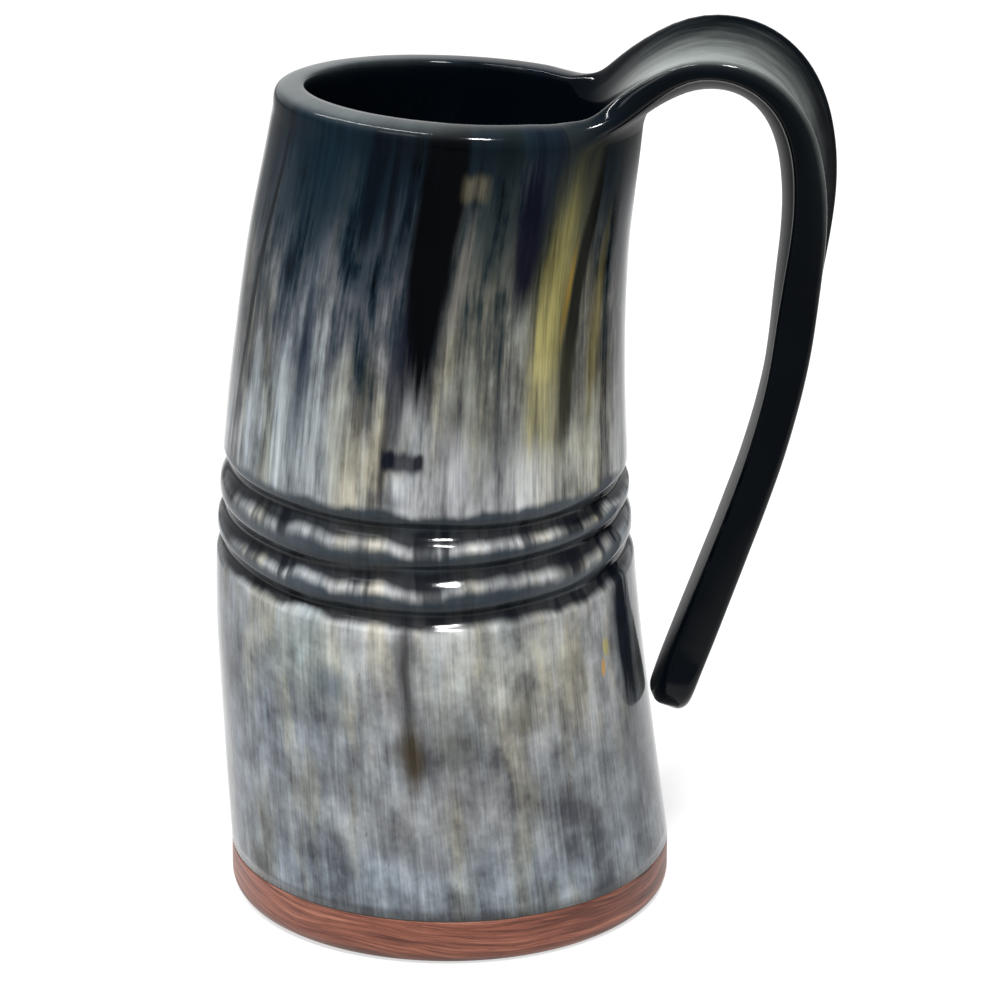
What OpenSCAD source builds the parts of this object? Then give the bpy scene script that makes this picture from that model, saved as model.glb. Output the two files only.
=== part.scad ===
// Horn drinking cup. A length of polished horn with three carved rings stands on a turned wooden base.
// The upper wall is drawn out into a tongue, bent over and brought down beside the cup as the handle.
// Millimetres. The origin is the centre of the foot, +Z is up, +X points at the handle.

/* [Cup] */
// height of the rim's crest over the table, at the middle of the mouth
rim_h = 160.8; // [140:0.2:190]
// diameter of the wooden foot and of the horn's lower end
foot_w = 85.2; // [74:0.2:100]
// thickness of the horn's wall
wall = 6.2; // [4.6:0.1:7.4]
// fall of the rim from the middle of the mouth to the handle's root
rim_fall = 1.4; // [0:0.1:4]
// rise of the rim from the middle of the mouth to the front
rim_rise = 1.3; // [0:0.1:4]

/* [Rim] */
// height of the rounded lip over the straight wall
lip_h = 4.2; // [2:0.1:6]
// width of the lip's outer rounding
lip_outer = 4.4; // [2:0.1:4.6]
// width of the lip's inner rounding
lip_inner = 1.3; // [0.6:0.1:1.6]

/* [Rings] */
// height of the lowest carved ring
ring_low = 72.2; // [60:0.1:84]
// distance between carved rings, up the side of the cup
ring_step = 7.3; // [7:0.1:10]
// width of a carved ring
ring_w = 6.2; // [3:0.1:6.6]
// depth of a carved ring
ring_d = 1.6; // [0.4:0.1:2.4]
// sag of the lowest ring at the front of the cup
ring_sag = 2.8; // [0:0.1:4]

/* [Handle] */
// length of the handle along its bend, from the rim to the free end
handle_len = 150.5; // [146:0.5:152]
// width of the handle over the top of its arch
handle_w = 30; // [24:0.5:32]
// thickness of the handle near its free end
handle_t = 8; // [6.4:0.1:9]
// how far the handle's finger side is rounded out over the arch
handle_sag = 5; // [3:0.1:6]
// depth of the trough along the handle's outer side
trough_d = 4.1; // [2:0.1:5]
// length over which the handle narrows from the rim
root_len = 17; // [13:0.5:20]
// how far the handle's edges hang back where it rises from the rim
root_drop = 2.2; // [0:0.1:3]
// rounding of the handle's long edges
edge_r = 1.5; // [1:0.1:1.8]
// rounding of the free end's edges
end_edge_r = 2.4; // [1.6:0.1:2.8]
// rounding of the free end's corners, seen from the back of the hand
end_r = 5; // [3:0.1:6]

/* [Base] */
// height of the wooden base under the horn
wood_h = 9.2; // [6:0.1:14]
// rounding of the base's lower edge
wood_r = 3.2; // [1:0.1:5]
// height of the plug that stands up into the horn
plug_h = 8; // [5:0.1:12]
// thickness of the glue in the joint
glue_t = 0.3; // [0.2:0.05:0.6]
// thickness of the sealing resin over the plug
seal_t = 2; // [1:0.1:3]
// height that the resin climbs up the wall
seal_climb = 2.2; // [1:0.1:3]

/* [Hidden] */
// clearance between a round piece and the bore that it stands in
fit = 0.1;
// recess of the glue line behind the outer surface
glue_back = 0.15;
// columns round the cup
cols = 60;
// columns from the handle's middle line to the end of its root
root_cols = 8;
// steps across half of the lip
lip_steps = 3;
// how near the rim the edges hang back the most
drop_bias = 1.2;
// steps along the path of the handle's bend
path_steps = 300;

foot_r = foot_w / 2;
horn_z = wood_h + glue_t;
horn_h = rim_h - horn_z;
top_z = rim_h - lip_h;
bore_r = foot_r - wall;
plug_r = bore_r - glue_t - 2 * fit;
seal_z = wood_h + plug_h;
round_z = seal_z + seal_t + seal_climb;
step_deg = 360 / cols;
root_deg = root_cols * step_deg;

// the horn's outline: height as a share of the horn, then radius, lean and depth over width
body_at_shares = [0, 0.15, 0.36, 0.58, 0.79, 0.93, 1];
body_r_shares = [1, 0.98, 0.951, 0.896, 0.851, 0.829, 0.819];
body_lean_shares = [0, -0.05, -0.105, -0.1, -0.051, 0.022, 0.059];
body_oval_shares = [1, 1, 0.98, 0.94, 0.88, 0.84, 0.82];

// the handle's bend: place as a share of its length, then its direction in degrees from upright
bend_at_shares = [
    0, 0.014, 0.034, 0.055, 0.082, 0.122, 0.163, 0.203,
    0.251, 0.352, 0.474, 0.541, 0.69, 0.859, 1
];
bend_deg = [12, 21.2, 46.1, 64.5, 73.6, 95.6, 129.4, 155.7, 171.2, 185, 185.2, 190.1, 198.3, 200.3, 198.8];

// the handle's section: place as a share of its length, then shares of each size
section_at_shares = [0, 0.122, 0.284, 0.432, 0.568, 0.696, 0.878, 1];
width_shares = [1, 1, 0.9, 0.82, 0.75, 0.7, 0.63, 0.62];
sag_shares = [1, 1, 0.62, 0.28, 0.16, 0.12, 0.12, 0.15];
thick_shares = [0.61, 0.61, 0.66, 0.74, 0.8, 0.86, 0.97, 1];
trough_shares = [1, 1, 0.98, 0.73, 0.34, 0.16, 0.08, 0.05];
inset_shares = [0.67, 0.67, 0.6, 0.47, 0.33, 0.27, 0.2, 0.2];
// twist of the section at the same stations, in degrees, front edge down
twist_deg = [0, 2, 3, 0.5, 0, 0, 0, 0];

// sag and sideways tilt of the three rings, from the lowest up, as shares of the lowest ring's sag
ring_sag_shares = [1, 0.71, 0.39];
ring_tilt_shares = [-0.27, 0.06, -0.47];

function slope(xs, ys, i) =
    let (a = max(i - 1, 0), b = min(i + 1, len(xs) - 1))
    (ys[b] - ys[a]) / (xs[b] - xs[a]);

// index of the stretch of xs that holds u
function stretch(xs, u, i = 0) =
    i >= len(xs) - 2 || u < xs[i + 1] ? i : stretch(xs, u, i + 1);

// smooth curve through the stations xs, ys
function curve(xs, ys, u) =
    let (
        v = min(max(u, xs[0]), xs[len(xs) - 1]),
        i = stretch(xs, v),
        h = xs[i + 1] - xs[i],
        t = (v - xs[i]) / h
    )
    (2 * pow(t, 3) - 3 * t * t + 1) * ys[i]
    + (pow(t, 3) - 2 * t * t + t) * h * slope(xs, ys, i)
    + (3 * t * t - 2 * pow(t, 3)) * ys[i + 1]
    + (pow(t, 3) - t * t) * h * slope(xs, ys, i + 1);

// soft step from 0 to 1
function ease(t) =
    let (u = min(max(t, 0), 1))
    u * u * (3 - 2 * u);

function mix(a, b, t) = a * (1 - t) + b * t;
function hump(t) = pow(sin(180 * t), 2);
function at(z) = (z - horn_z) / horn_h;
function body_a(z) = foot_r * curve(body_at_shares, body_r_shares, at(z));
function body_b(z) = body_a(z) * curve(body_at_shares, body_oval_shares, at(z));
function body_c(z) = foot_r * curve(body_at_shares, body_lean_shares, at(z));

// tilt of a level of the horn: level at the foot, with the rings, then with the rim
ring_z = [for (i = [0 : 2]) ring_low + i * ring_step];
tilt_z = concat([horn_z], ring_z, [top_z]);
side_up = concat([0], ring_tilt_shares * ring_sag, [-rim_fall]);
back_up = concat([0], ring_sag_shares * ring_sag, [-rim_rise]);
function level(v, deg) =
    v + curve(tilt_z, side_up, v) * cos(deg) + curve(tilt_z, back_up, v) * sin(deg);

function carve(v, z0) =
    let (t = abs(v - z0) / (ring_w / 2))
    t >= 1 ? 0 : ring_d * (1 + cos(180 * t)) / 2;
function carved(v) = carve(v, ring_z[0]) + carve(v, ring_z[1]) + carve(v, ring_z[2]);

// rows of the outer and inner faces, from the joint to the foot of the lip
function even(a, b, n) = [for (i = [1 : n]) a + (b - a) * i / n];
ring_rows = [for (z = ring_z) for (k = [-2 : 2]) z + k * ring_w / 4];
outer_rows = concat(
    [horn_z],
    even(horn_z, ring_rows[0], 6),
    [for (i = [1 : len(ring_rows) - 1]) ring_rows[i]],
    even(ring_rows[len(ring_rows) - 1], top_z, 9)
);
inner_rows = concat([horn_z, round_z], even(round_z, top_z, 10));

function outer_point(v, deg) =
    let (z = level(v, deg), d = carved(v))
    [body_c(z) + (body_a(z) - d) * cos(deg), (body_b(z) - d) * sin(deg), z];

// the bore is round and upright where the plug and the resin stand in it
function inner_point(v, deg) =
    let (
        t = ease((v - round_z) / (top_z - round_z) * 3),
        u = ease((v - ring_z[2]) / (top_z - ring_z[2])),
        z = mix(v, level(v, deg), u),
        a = mix(bore_r, body_a(z) - wall, t),
        b = mix(bore_r, body_b(z) - wall, t)
    )
    [body_c(z) * t + a * cos(deg), b * sin(deg), z];

outer_grid = [for (v = outer_rows) for (j = [0 : cols - 1]) outer_point(v, j * step_deg)];
inner_grid = [for (v = inner_rows) for (j = [0 : cols - 1]) inner_point(v, j * step_deg)];

// the handle's finger side, followed along its middle line
root_z = top_z - rim_fall;
root_a = body_a(root_z);
root_b = body_b(root_z);
// what the root adds to the handle's half width where it spreads into the rim
root_w = root_b * sin(root_deg) - handle_w / 2 * width_shares[0] + edge_r;
function bend(s) = curve(bend_at_shares, bend_deg, s / handle_len);
path_ds = handle_len / path_steps;
path = [
    for (i = 0, x = body_c(root_z) + root_a, z = root_z; i <= path_steps;
        x = x + path_ds * sin(bend((i + 1 / 2) * path_ds)),
        z = z + path_ds * cos(bend((i + 1 / 2) * path_ds)),
        i = i + 1)
    [i * path_ds, x, z]
];
path_x = [for (p = path) [p[0], p[1]]];
path_z = [for (p = path) [p[0], p[2]]];

// rows of the handle: close together round the root, the arch and the free end
straight_s = handle_len - end_r - end_edge_r;
arch_s = handle_len / 3;
tongue_rows = concat(
    [for (f = [10 : 10 : 90]) root_len * (1 - cos(f))],
    even(root_len, arch_s, 9),
    even(arch_s, straight_s, 14),
    [for (f = [25, 50, 75]) straight_s + end_r * sin(f)]
);

function section(shares, s) = curve(section_at_shares, shares, s / handle_len);
function natural_sag(a, w) = a * (1 - sqrt(max(0, 1 - pow(w / root_b, 2))));

// one row: place, direction, normal, half width, sag, thickness, inset, trough, skew, share of the corner,
// edge rounding, share of the handle, twist and drop; the frame turns in later than the path does
function tongue_row(s) =
    let (
        turn = min(max(1 - s / root_len, 0), 1),
        out = min(max((s - straight_s) / end_r, 0), 1),
        edge = mix(edge_r, end_edge_r, ease((s - straight_s + end_r) / end_r)),
        w = handle_w / 2 * section(width_shares, s) - edge_r
            + root_w * (1 - sqrt(1 - turn * turn)) - end_r * (1 - sqrt(1 - out * out)),
        m = ease(s / root_len * 2),
        n = ease(s / root_len),
        deg = mix(atan2(rim_fall, root_a), bend(s), n)
    )
    [
        [lookup(s, path_x), 0, lookup(s, path_z)],
        [sin(deg), 0, cos(deg)],
        [-cos(deg), 0, sin(deg)],
        w,
        mix(natural_sag(root_a, w), handle_sag * section(sag_shares, s), m),
        mix(wall, handle_t * section(thick_shares, s), n),
        mix(wall * w / root_b, edge_r * section(inset_shares, s), n),
        mix(natural_sag(root_a - wall, w), trough_d * section(trough_shares, s), m),
        -rim_rise * (1 - n) * w / root_b,
        max(turn, out),
        edge,
        n,
        n * section(twist_deg, s),
        root_drop * hump(pow(turn, drop_bias))
    ];
tongue = [for (s = tongue_rows) tongue_row(s)];

function tongue_point(r, k, inside) =
    let (
        deg = k * step_deg,
        f = (1 - cos(deg)) / (1 - cos(root_deg)),
        g = sin(deg) / sin(root_deg),
        n = inside ? r[5] + r[7] * f : r[4] * f,
        y = (inside ? r[3] - r[6] : r[3]) * g
    )
    r[0]
    + r[2] * (n * cos(r[12]) + y * sin(r[12]))
    + [0, y * cos(r[12]) - n * sin(r[12]), 0]
    + r[1] * r[8] * g
    - [0, 0, r[13] * f];

tongue_outer = [for (r = tongue) for (k = [-root_cols : root_cols]) tongue_point(r, k, false)];
tongue_inner = [for (r = tongue) for (k = [-root_cols : root_cols]) tongue_point(r, k, true)];

// numbering of the points
tw = 2 * root_cols + 1;
tn = len(tongue);
inner_0 = len(outer_grid);
tongue_0 = inner_0 + len(inner_grid);
trough_0 = tongue_0 + tn * tw;
lip_0 = trough_0 + tn * tw;
lip_n = 2 * lip_steps - 1;
top_outer = (len(outer_rows) - 1) * cols;
top_inner = inner_0 + (len(inner_rows) - 1) * cols;
function rim_id(base, k) = base + (k + cols) % cols;
function outer_id(r, c) = r < 0 ? rim_id(top_outer, c - root_cols) : tongue_0 + r * tw + c;
function inner_id(r, c) = r < 0 ? rim_id(top_inner, c - root_cols) : trough_0 + r * tw + c;

skin = concat(outer_grid, inner_grid, tongue_outer, tongue_inner);

// the lip's loop runs round the rim, out along the handle, across its end and back;
// near the rim it starts flush with the wall that it grows from
rim_up = [rim_fall, 0, root_a] / norm([rim_fall, 0, root_a]);
function edge_stop(r, side) =
    let (
        c = side < 0 ? 0 : tw - 1,
        q = tongue[r],
        v = skin[inner_id(r, c)] - skin[outer_id(r, c)],
        flat_out = side * cross(v, q[1]),
        lat = flat_out / norm(flat_out),
        d = lat * sqrt(1 - q[9] * q[9]) + q[1] * q[9],
        over = tongue_point(q, side * (root_cols + 1), false) - tongue_point(q, side * (root_cols - 1), false),
        face = cross(over, skin[outer_id(min(r + 1, tn - 1), c)] - skin[outer_id(r - 1, c)]),
        flush = d - face * (d * face) / (face * face)
    )
    [outer_id(r, c), inner_id(r, c), mix(flush / norm(flush), d, q[11]),
        mix(lip_outer, q[10], q[11]), mix(lip_inner, q[10], q[11]), mix(lip_h, q[10], q[11])];
loop = concat(
    [for (j = [root_cols : cols - root_cols])
        [top_outer + j, top_inner + j, rim_up, lip_outer, lip_inner, lip_h]],
    [for (r = [0 : tn - 1]) edge_stop(r, -1)],
    [for (c = [1 : tw - 2])
        [outer_id(tn - 1, c), inner_id(tn - 1, c), tongue[tn - 1][1], end_edge_r, end_edge_r, end_edge_r]],
    [for (r = [tn - 1 : -1 : 0]) edge_stop(r, 1)]
);
function lip_point(l, k) =
    let (
        o = skin[l[0]],
        i = skin[l[1]],
        v = (i - o) / norm(i - o),
        a = 90 * k / lip_steps
    )
    k <= lip_steps
        ? o + v * l[3] * (1 - cos(a)) + l[2] * l[5] * sin(a)
        : i - v * l[4] * (1 - sin(a - 90)) + l[2] * l[5] * cos(a - 90);
lip = [for (l = loop) for (k = [1 : lip_n]) lip_point(l, k)];
function lip_id(n, k) =
    let (l = n % len(loop))
    k == 0 ? loop[l][0] : k == 2 * lip_steps ? loop[l][1] : lip_0 + l * lip_n + k - 1;

// two triangles, clockwise seen from outside
function pane(a, b, c, d) = [[a, d, c], [a, c, b]];

horn_faces = concat(
    [for (r = [0 : len(outer_rows) - 2]) for (j = [0 : cols - 1])
        let (k = (j + 1) % cols)
        each pane(r * cols + j, r * cols + k, (r + 1) * cols + k, (r + 1) * cols + j)],
    [for (r = [0 : len(inner_rows) - 2]) for (j = [0 : cols - 1])
        let (k = (j + 1) % cols, i = inner_0 + r * cols)
        each pane(i + k, i + j, i + cols + j, i + cols + k)],
    [for (j = [0 : cols - 1])
        let (k = (j + 1) % cols)
        each pane(inner_0 + j, inner_0 + k, k, j)],
    [for (r = [0 : tn - 1]) for (c = [0 : tw - 2])
        each pane(outer_id(r - 1, c), outer_id(r - 1, c + 1), outer_id(r, c + 1), outer_id(r, c))],
    [for (r = [0 : tn - 1]) for (c = [0 : tw - 2])
        each pane(inner_id(r - 1, c + 1), inner_id(r - 1, c), inner_id(r, c), inner_id(r, c + 1))],
    [for (n = [0 : len(loop) - 1]) for (k = [0 : 2 * lip_steps - 1])
        each pane(lip_id(n, k), lip_id(n + 1, k), lip_id(n + 1, k + 1), lip_id(n, k + 1))]
);

// the horn with its handle, one piece of natural horn
module horn() {
    color([0.2, 0.21, 0.22])
    polyhedron(points = concat(skin, lip), faces = horn_faces, convexity = 8);
}

// the turned base: a disc with a rounded lower edge and a plug that fills the horn's end
module wood_base() {
    color([0.55, 0.32, 0.22])
    rotate_extrude($fn = 96) {
        difference() {
            square([foot_r, wood_h]);
            translate([foot_r - wood_r, 0])
            difference() {
                square([wood_r, wood_r]);
                translate([0, wood_r])
                circle(r = wood_r, $fn = 48);
            }
        }
        translate([0, wood_h / 2])
        square([plug_r, wood_h / 2 + plug_h]);
    }
}

// the glue under the horn's end and round the plug
module joint_glue() {
    color([0.3, 0.24, 0.16])
    rotate_extrude($fn = 96)
    difference() {
        translate([plug_r + fit, wood_h])
        square([foot_r - glue_back - plug_r - fit, plug_h]);
        translate([plug_r + fit + glue_t, horn_z])
        square([foot_r, plug_h]);
    }
}

// the clear resin poured over the plug, climbing the wall a little
module seal_layer() {
    seal_r = bore_r * cos(step_deg / 2) - fit;
    color([0.6, 0.5, 0.3])
    rotate_extrude($fn = 96)
    difference() {
        translate([0, seal_z])
        square([seal_r, seal_t + seal_climb]);
        translate([0, seal_z + seal_t])
        square([seal_r - seal_climb, seal_climb]);
        translate([seal_r - seal_climb, seal_z + seal_t + seal_climb])
        circle(r = seal_climb, $fn = 48);
    }
}

horn();
wood_base();
joint_glue();
seal_layer();
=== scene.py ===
"""A drinking cup made from one polished horn on a turned wooden base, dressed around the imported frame."""

import math

import bpy
import numpy as np
from mathutils import Matrix, Vector, noise


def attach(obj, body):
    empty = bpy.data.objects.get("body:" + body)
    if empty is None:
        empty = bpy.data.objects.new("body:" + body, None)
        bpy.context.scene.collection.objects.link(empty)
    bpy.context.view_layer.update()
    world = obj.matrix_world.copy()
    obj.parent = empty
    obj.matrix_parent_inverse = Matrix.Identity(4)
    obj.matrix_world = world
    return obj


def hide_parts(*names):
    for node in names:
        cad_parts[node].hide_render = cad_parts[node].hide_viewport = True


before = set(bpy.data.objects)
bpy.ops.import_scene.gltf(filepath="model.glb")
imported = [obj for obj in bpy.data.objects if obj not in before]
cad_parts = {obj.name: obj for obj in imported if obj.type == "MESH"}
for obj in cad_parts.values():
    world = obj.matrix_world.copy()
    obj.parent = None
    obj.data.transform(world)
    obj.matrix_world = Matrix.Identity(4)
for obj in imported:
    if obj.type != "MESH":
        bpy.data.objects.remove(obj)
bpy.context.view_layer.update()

MM = 0.001

# The cup, in millimetres
RIM_H = 160.8
FOOT_R = 42.6
WALL = 6.2
RIM_FALL = 1.4
RIM_RISE = 1.3
LIP_H = 4.2
LIP_OUTER = 4.4
LIP_INNER = 1.3

# The lip's squareness, from square to soft, and where round the rim it is softest, in radians
LIP_SQUARE = 0.5
LIP_SOFT = 0.85
LIP_SOFT_AT = 5.2
LIP_SOFT_REACH = 1.5

# The carved rings. Each is lower in front and tilts to one side by its shares of RING_SAG
RING_LOW = 72.2
RING_STEP = 7.3
RING_W = 6.2
RING_D = 1.6
RING_SAG = 2.8
RING_SAG_SHARES = (1, 0.71, 0.39)
RING_TILT_SHARES = (-0.27, 0.06, -0.47)
RING_WANDER = 0.16
RING_JITTER = 0.1
RING_VARY = 0.07

# The handle
HANDLE_LEN = 150.5
HANDLE_W = 30
HANDLE_T = 8
HANDLE_SAG = 5
TROUGH_D = 4.1
ROOT_LEN = 17
ROOT_DROP = 2.2
DROP_BIAS = 1.2
ROOT_DEG = 48
EDGE_R = 1.5
END_EDGE_R = 2.4
END_R = 5

# The base, its glue and the resin over the plug
WOOD_H = 9.2
WOOD_R = 3.2
WOOD_SHOULDER_R = 0.25
PLUG_H = 8
GLUE_T = 0.3
GLUE_BACK = 0.15
SEAL_T = 2
SEAL_CLIMB = 2.2
FIT = 0.1

# The horn's outline, as shares of its height and of the foot's radius
BODY_AT_SHARES = (0, 0.15, 0.36, 0.58, 0.79, 0.93, 1)
BODY_R_SHARES = (1, 0.98, 0.951, 0.896, 0.851, 0.829, 0.819)
BODY_LEAN_SHARES = (0, -0.05, -0.105, -0.1, -0.051, 0.022, 0.059)
BODY_OVAL_SHARES = (1, 1, 0.98, 0.94, 0.88, 0.84, 0.82)

# The handle's bend and section, at shares of its length
BEND_AT_SHARES = (
    0, 0.014, 0.034, 0.055, 0.082, 0.122, 0.163, 0.203, 0.251, 0.352, 0.474, 0.541, 0.69, 0.859, 1,
)
BEND_DEG = (12, 21.2, 46.1, 64.5, 73.6, 95.6, 129.4, 155.7, 171.2, 185, 185.2, 190.1, 198.3, 200.3, 198.8)
SECTION_AT_SHARES = (0, 0.122, 0.284, 0.432, 0.568, 0.696, 0.878, 1)
WIDTH_SHARES = (1, 1, 0.9, 0.82, 0.75, 0.7, 0.63, 0.62)
SAG_SHARES = (1, 1, 0.62, 0.28, 0.16, 0.12, 0.12, 0.15)
THICK_SHARES = (0.61, 0.61, 0.66, 0.74, 0.8, 0.86, 0.97, 1)
TROUGH_SHARES = (1, 1, 0.98, 0.73, 0.34, 0.16, 0.08, 0.05)
INSET_SHARES = (0.67, 0.67, 0.6, 0.47, 0.33, 0.27, 0.2, 0.2)
TWIST_DEG = (0, 2, 3, 0.5, 0, 0, 0, 0)

# The grain's own cylinder, on which the stains are placed
GRAIN_R = 38

# Heights and radii that follow from the sizes, and the height round which the horn is a little paler
HORN_Z = WOOD_H + GLUE_T
TOP_Z = RIM_H - LIP_H
BORE_R = FOOT_R - WALL
PLUG_R = BORE_R - GLUE_T - 2 * FIT
SEAL_Z = WOOD_H + PLUG_H
ROUND_Z = SEAL_Z + SEAL_T + SEAL_CLIMB
RING_Z = [RING_LOW + i * RING_STEP for i in range(3)]
RINGS_MIDDLE = 84.0

# The photograph's camera, in millimetres
CAMERA_AT = (96.17, -1095.81, 501.65)
CAMERA_TO = (9.864, 0, 79.035)
LENS = 220.9
SENSOR_W = 36

# The ways towards the camera and to its right, level with the floor
VIEW_WAY = (0.078, -0.997, 0.0)
SIDE_WAY = (0.997, 0.078, 0.0)

# How bright the room and the floor are on the camera's side, as shares of white
FRONT_LEVEL = 0.3
FLOOR_LEVEL = 0.22

# The room's light on the cup, the paper's own colour, and what the paper glows by to be seen as white
ROOM_LEVEL = 0.85
PAPER = 0.35
FLOOR_GLOW = 0.66

# Where the paper falls off to grey towards the camera and to the sides, in metres
NEAR_FALL = (0.06, 0.16)
SIDE_FALL = (0.105, 0.34)
SIDE_FALL_SHARE = 0.75

# The picture's middle along SIDE_WAY, and what its half width loses for each metre towards the camera
FRAME_MIDDLE = 0.01
FRAME_TAPER = 0.076

# The floor's rings in mm, the first of them under the foot, and its sides
FLOOR_REACHES = (FOOT_R - WOOD_R - 1.5, 90, 300, 1500, 9000)
FLOOR_SIDES = 96

# The lamps' aim, in metres
LAMP_AIM = (0, 0, 0.09)

# Fineness of the horn's mesh: columns round it, and rows from the foot up and along the handle
COLS = 180
ROWS_UNDER_RINGS = 24
ROWS_A_RING = 15
ROWS_OVER_RINGS = 34
ROWS_OF_BORE = 36
ROWS_OF_ROOT = 18
ROWS_OF_ARCH = 34
ROWS_OF_LEG = 52
ROWS_OF_END = 8
LIP_STEPS = 8
LATHE_SIDES = 160
TURN = 2 * math.pi

# Rubbing the handle's root smooth: how far from its corners in mm, how often, and how much each time
RUB_REACH = 9
RUB_TIMES = 12
RUB_SHARE = 0.5

# The waves that hand polishing leaves, in mm, and the height at which they set in
POLISH_WAVE = 0.14
POLISH_RIPPLE = 0.035
POLISH_FROM = 22
POLISH_BLEND = 12


def curve(xs, ys, u):
    """Smooth curve through the stations xs, ys."""
    xs, ys = np.asarray(xs, float), np.asarray(ys, float)
    n = len(xs)
    before, after = np.maximum(np.arange(n) - 1, 0), np.minimum(np.arange(n) + 1, n - 1)
    slope = (ys[after] - ys[before]) / (xs[after] - xs[before])
    u = np.clip(u, xs[0], xs[-1])
    i = np.clip(np.searchsorted(xs, u, side="right") - 1, 0, n - 2)
    h = xs[i + 1] - xs[i]
    t = (u - xs[i]) / h
    return (
        (2 * t**3 - 3 * t**2 + 1) * ys[i]
        + (t**3 - 2 * t**2 + t) * h * slope[i]
        + (3 * t**2 - 2 * t**3) * ys[i + 1]
        + (t**3 - t**2) * h * slope[i + 1]
    )


def ease(t):
    """Soft step from 0 to 1."""
    t = np.clip(t, 0, 1)
    return t * t * (3 - 2 * t)


def mix(a, b, t):
    """From a at t = 0 to b at t = 1."""
    return a * (1 - t) + b * t


def even(a, b, n):
    """n even steps from a to b, without a."""
    return list(a + (b - a) * np.arange(1, n + 1) / n)


def body_a(z):
    """Half width of the horn along X at height z."""
    return FOOT_R * curve(BODY_AT_SHARES, BODY_R_SHARES, (z - HORN_Z) / (RIM_H - HORN_Z))


def body_b(z):
    """Half width along Y."""
    return body_a(z) * curve(BODY_AT_SHARES, BODY_OVAL_SHARES, (z - HORN_Z) / (RIM_H - HORN_Z))


def body_c(z):
    """The middle's place along X."""
    return FOOT_R * curve(BODY_AT_SHARES, BODY_LEAN_SHARES, (z - HORN_Z) / (RIM_H - HORN_Z))


TILT_Z = [HORN_Z, *RING_Z, TOP_Z]
SIDE_UP = [0, *(RING_SAG * s for s in RING_TILT_SHARES), -RIM_FALL]
BACK_UP = [0, *(RING_SAG * s for s in RING_SAG_SHARES), -RIM_RISE]


def level(v, th):
    """Height of level v at the angle th: flat at the foot, then tilted with the rings and the rim."""
    return v + curve(TILT_Z, SIDE_UP, v) * np.cos(th) + curve(TILT_Z, BACK_UP, v) * np.sin(th)


def groove(v, th):
    """How deep the rings are carved at level v, from 0 to 1. Cut by hand, they wander and vary a little."""
    depth = 0
    for i, z in enumerate(RING_Z):
        wander = RING_WANDER * np.sin(3 * th + 2 * i) + RING_JITTER * np.sin(8 * th + 5 * i)
        t = np.minimum(abs(v - z + wander) / (RING_W / 2), 1)
        depth = depth + (1 + np.cos(np.pi * t)) / 2 * (1 + RING_VARY * np.sin(5 * th + i))
    return depth


def outer_row(v, th):
    """The wall's outside at level v, with the rings carved into it."""
    z = level(v, th)
    d = RING_D * groove(v, th)
    return np.stack([body_c(z) + (body_a(z) - d) * np.cos(th), (body_b(z) - d) * np.sin(th), z], -1)


def inner_row(v, th):
    """The bore at level v. It is round and upright where the plug and the resin stand in it."""
    t = ease((v - ROUND_Z) / (TOP_Z - ROUND_Z) * 3)
    u = ease((v - RING_Z[2]) / (TOP_Z - RING_Z[2]))
    z = mix(v, level(v, th), u)
    a = mix(BORE_R, body_a(z) - WALL, t)
    b = mix(BORE_R, body_b(z) - WALL, t)
    return np.stack([body_c(z) * t + a * np.cos(th), b * np.sin(th), z], -1)


ROOT_Z = TOP_Z - RIM_FALL
ROOT_A = body_a(ROOT_Z)
ROOT_B = body_b(ROOT_Z)
ROOT_W = ROOT_B * math.sin(math.radians(ROOT_DEG)) - HANDLE_W / 2 * WIDTH_SHARES[0] + EDGE_R
PATH_STEPS = 300


def bend_path():
    """The handle's finger side along its middle line: distances, x and z."""
    ds = HANDLE_LEN / PATH_STEPS
    middles = (np.arange(PATH_STEPS) + 0.5) * ds
    turn = np.radians(curve(BEND_AT_SHARES, BEND_DEG, middles / HANDLE_LEN))
    x = body_c(ROOT_Z) + ROOT_A + np.concatenate([[0], np.cumsum(np.sin(turn) * ds)])
    z = ROOT_Z + np.concatenate([[0], np.cumsum(np.cos(turn) * ds)])
    return np.arange(PATH_STEPS + 1) * ds, x, z


PATH = bend_path()
STRAIGHT_S = HANDLE_LEN - END_R - END_EDGE_R


def section(shares, s):
    """A size of the handle's section at the distance s along it, from its shares."""
    return float(curve(SECTION_AT_SHARES, shares, s / HANDLE_LEN))


def natural_sag(a, w):
    """Sag of the cup's own wall over the half width w."""
    return a * (1 - math.sqrt(max(0, 1 - (w / ROOT_B) ** 2)))


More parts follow.
